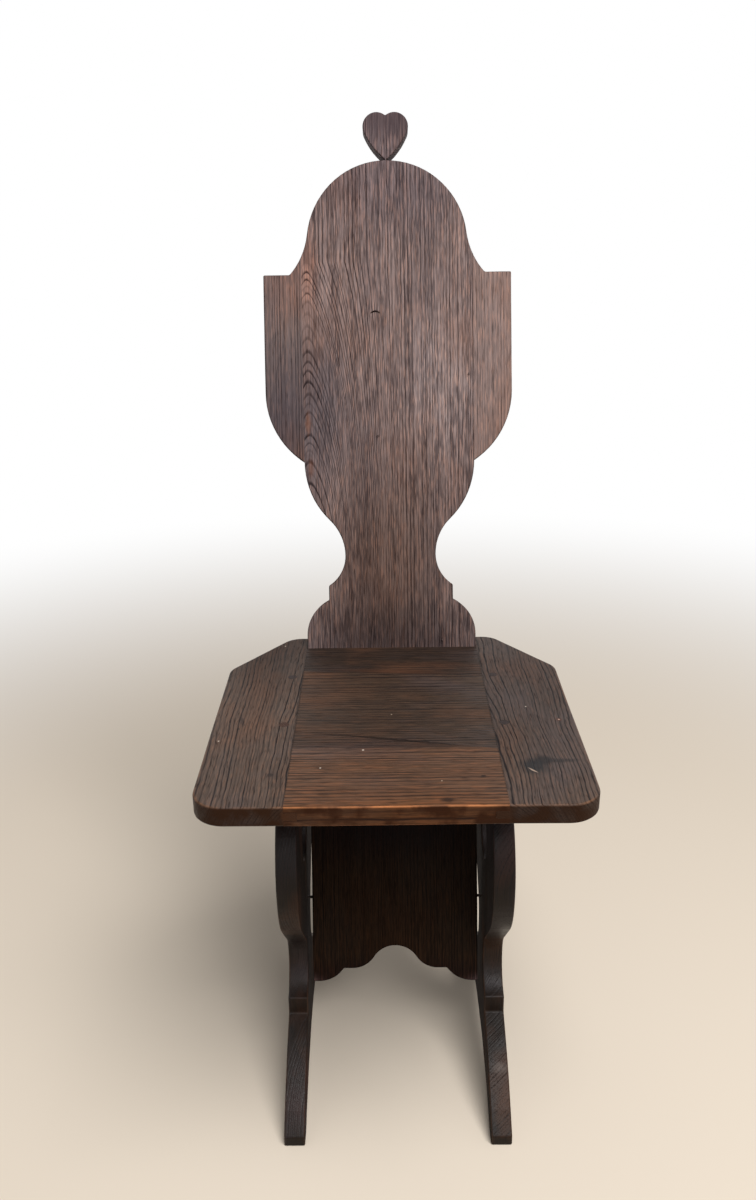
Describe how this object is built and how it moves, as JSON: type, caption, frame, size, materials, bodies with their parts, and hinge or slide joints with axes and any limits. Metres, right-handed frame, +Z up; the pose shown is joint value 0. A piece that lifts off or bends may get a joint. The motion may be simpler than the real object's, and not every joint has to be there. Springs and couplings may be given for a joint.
{
  "type": "side chair",
  "caption": "Plank side chair with a raked, sawn baluster back topped by a heart, a clipped-corner board seat and pierced, splayed side boards.",
  "frame": {"origin": "floor level, at the centre of the chair's outer box", "axes": "+Z up, -Y towards the front of the seat, +X towards the left hand of a sitter, which is the right-hand side seen from the front"},
  "size_m": [0.3286, 0.4972, 0.9743],
  "materials": {
    "oak_back": "dark stained oak, straight open grain, thin satin wax",
    "oak_ears": "dark stained oak strips glued to the back, satin wax",
    "oak_panel": "dark stained oak laid across, worn to a warmer brown",
    "oak_wings": "dark stained oak, front-to-back grain, satin wax",
    "oak_sides": "near-black stained oak, satin wax",
    "oak_pegs": "oak pegs, end grain cut flush and stained",
    "iron_nails": "dull dark iron"
  },
  "bodies": {
    "root": {"back_board": "oak_back", "back_left_ear": "oak_ears", "back_right_ear": "oak_ears", "seat_front_board": "oak_panel", "seat_middle_board": "oak_panel", "seat_rear_board": "oak_panel", "seat_left_wing": "oak_wings", "seat_right_wing": "oak_wings", "left_side_board": "oak_sides", "right_side_board": "oak_sides", "seat_pegs": "oak_pegs", "side_nails": "iron_nails"}
  },
  "joints": []
}
